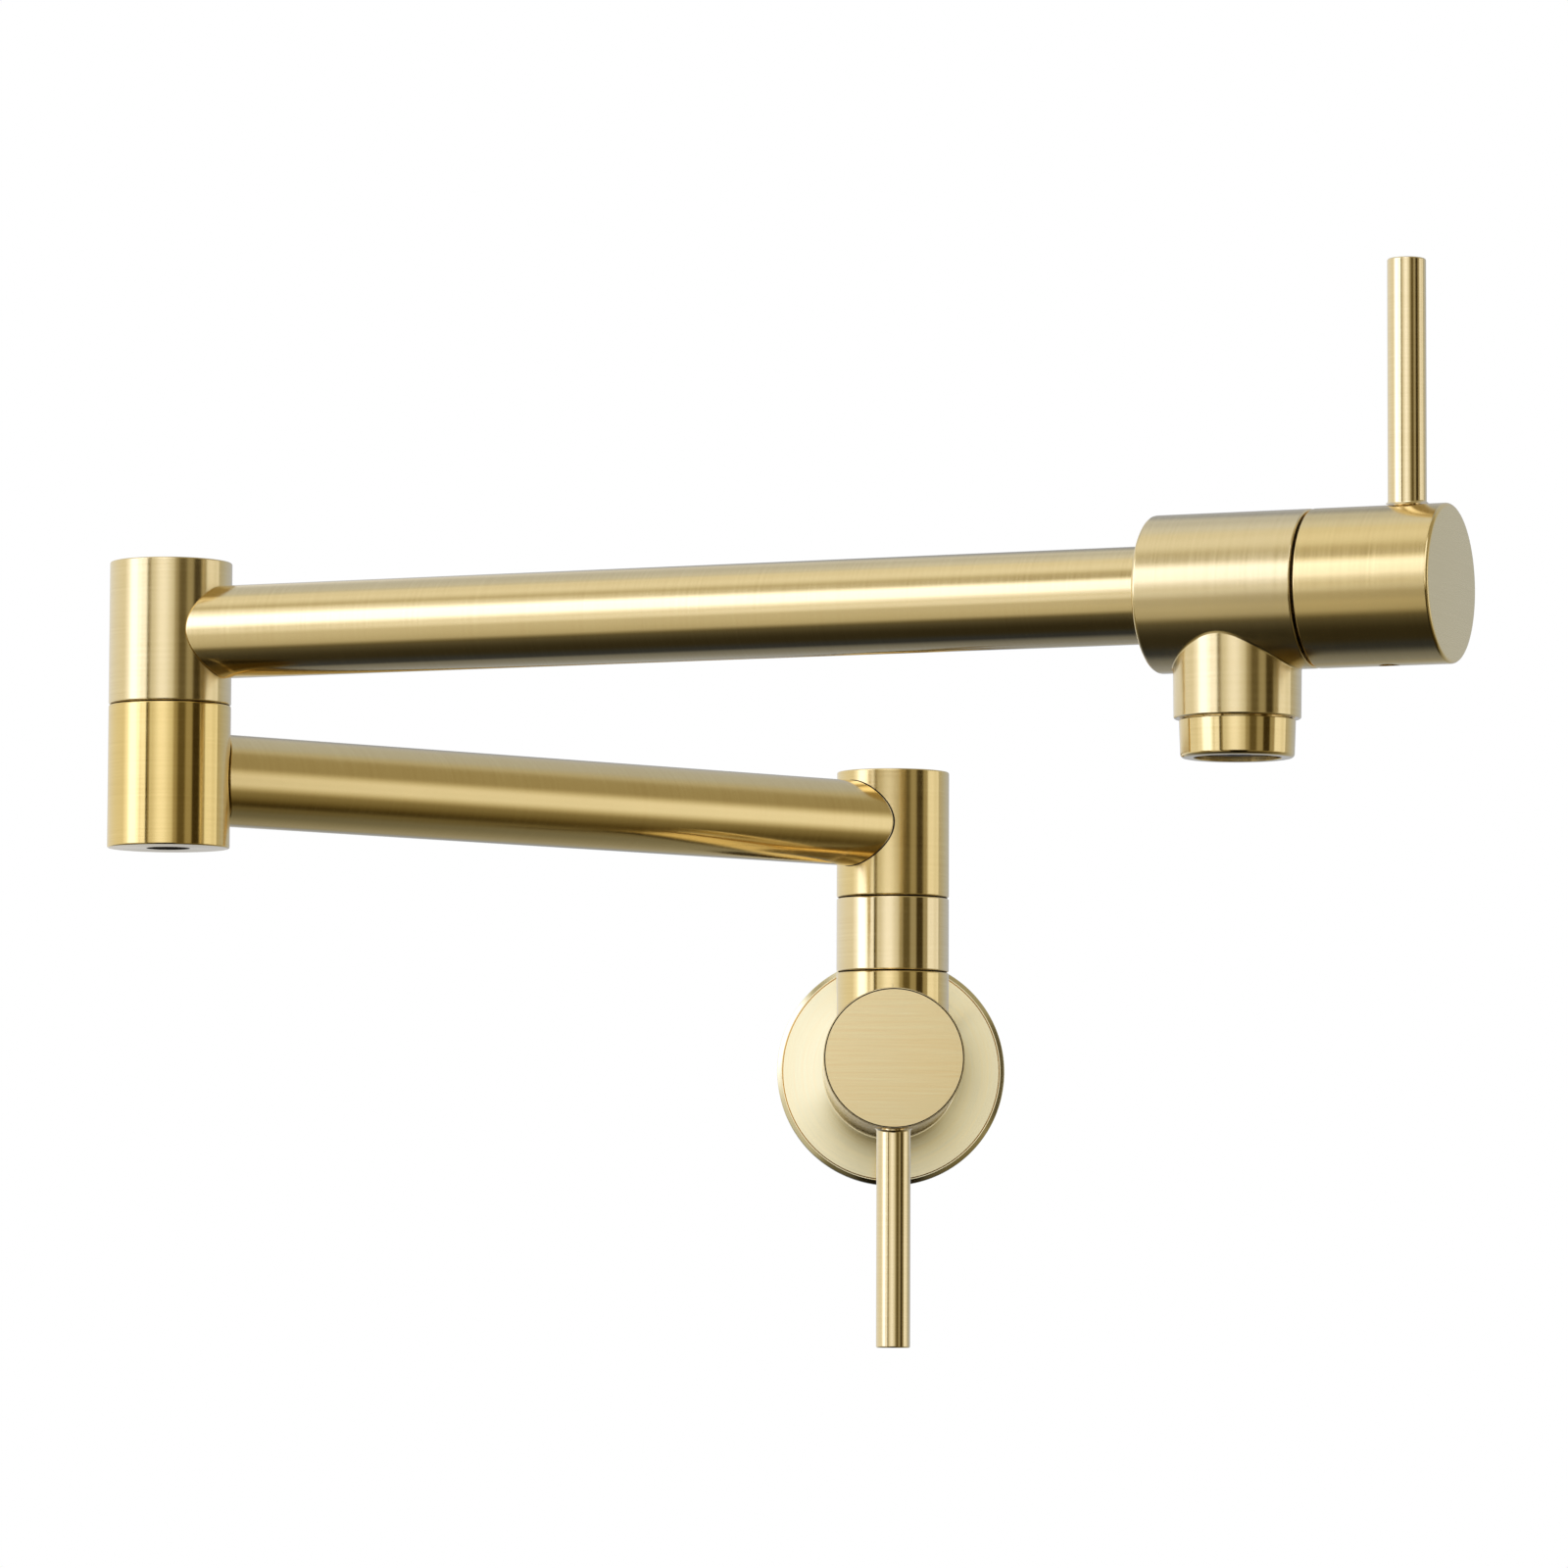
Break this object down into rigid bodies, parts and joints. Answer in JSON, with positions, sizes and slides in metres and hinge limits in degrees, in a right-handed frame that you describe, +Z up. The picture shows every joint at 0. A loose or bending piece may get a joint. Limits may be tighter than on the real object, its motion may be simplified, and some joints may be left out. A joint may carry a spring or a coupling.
{
  "type": "wall mounted pot filler",
  "caption": "Wall mounted pot filler: round flange and lever valve, swivel neck, folding jointed arm of round tube, and another lever valve above an aerated spout.",
  "frame": {"origin": "centre of the wall flange's back face, on the axis of the inlet and the wall valve", "axes": "+X to the right as seen from the room, +Y into the wall along the inlet, +Z up along the swivel axes"},
  "size_m": [0.3148, 0.3598, 0.241],
  "materials": {
    "satin_gold": "pale gold coating, finely brushed round the turned pieces",
    "plain_brass": "uncoated, as turned",
    "steel": "stainless, as made",
    "rubber": "matt black",
    "foam": "closed cell, dark grey",
    "slip_plastic": "white, self lubricating",
    "ceramic": "lapped white ceramic",
    "grey_plastic": "moulded, dark grey"
  },
  "bodies": {
    "wall_valve": {"wall_flange": "satin_gold", "flange_gasket": "foam", "flange_o_ring": "rubber", "wall_valve_body": "satin_gold", "inlet_nipple": "plain_brass", "inlet_washer": "rubber", "wall_headwork": "plain_brass", "wall_fixed_disc": "ceramic", "wall_seat_seal": "rubber", "swivel_nut": "satin_gold", "wall_thrust_washer": "slip_plastic"},
    "wall_handle": {"wall_moving_disc": "ceramic", "wall_stem": "plain_brass", "wall_stem_o_ring": "rubber", "wall_stem_clip": "steel", "wall_handle_cap": "satin_gold", "wall_lever": "satin_gold", "wall_grub_screw": "steel"},
    "inner_arm": {"wall_knuckle": "satin_gold", "wall_swivel_post": "plain_brass", "wall_post_o_ring_1": "rubber", "wall_post_o_ring_2": "rubber", "wall_slip_washer": "slip_plastic", "inner_tube": "satin_gold", "elbow_lower_knuckle": "satin_gold", "elbow_slip_washer": "slip_plastic"},
    "outer_arm": {"elbow_upper_knuckle": "satin_gold", "elbow_swivel_post": "plain_brass", "elbow_post_o_ring_1": "rubber", "elbow_post_o_ring_2": "rubber", "elbow_post_o_ring_3": "rubber", "elbow_retaining_screw": "steel", "elbow_screw_washer": "steel", "outer_tube": "satin_gold", "outlet_valve_body": "satin_gold", "outlet_headwork": "plain_brass", "outlet_fixed_disc": "ceramic", "outlet_seat_seal": "rubber", "aerator_gasket": "rubber", "aerator_diffuser": "grey_plastic", "aerator_housing": "satin_gold", "aerator_insert": "grey_plastic"},
    "outlet_handle": {"outlet_moving_disc": "ceramic", "outlet_stem": "plain_brass", "outlet_stem_o_ring": "rubber", "outlet_stem_clip": "steel", "outlet_handle_cap": "satin_gold", "outlet_lever": "satin_gold", "outlet_grub_screw": "steel"}
  },
  "joints": [
    {"name": "wall_handle_turn", "type": "hinge", "parent": "wall_valve", "child": "wall_handle", "pos_m": [0, -0.048, 0], "axis": [0, -1, 0], "range_deg": [0, 90]},
    {"name": "wall_swivel", "type": "hinge", "parent": "wall_valve", "child": "inner_arm", "pos_m": [0, -0.048, 0.062], "axis": [0, 0, 1], "range_deg": [-41.15, 138.85]},
    {"name": "elbow_swivel", "type": "hinge", "parent": "inner_arm", "child": "outer_arm", "pos_m": [-0.17319, -0.19935, 0.079], "axis": [0, 0, 1], "continuous": true},
    {"name": "outlet_handle_turn", "type": "hinge", "parent": "outer_arm", "child": "outlet_handle", "pos_m": [0.07423, -0.30234, 0.096], "axis": [0.9232, -0.3843, 0], "range_deg": [0, 90]}
  ]
}
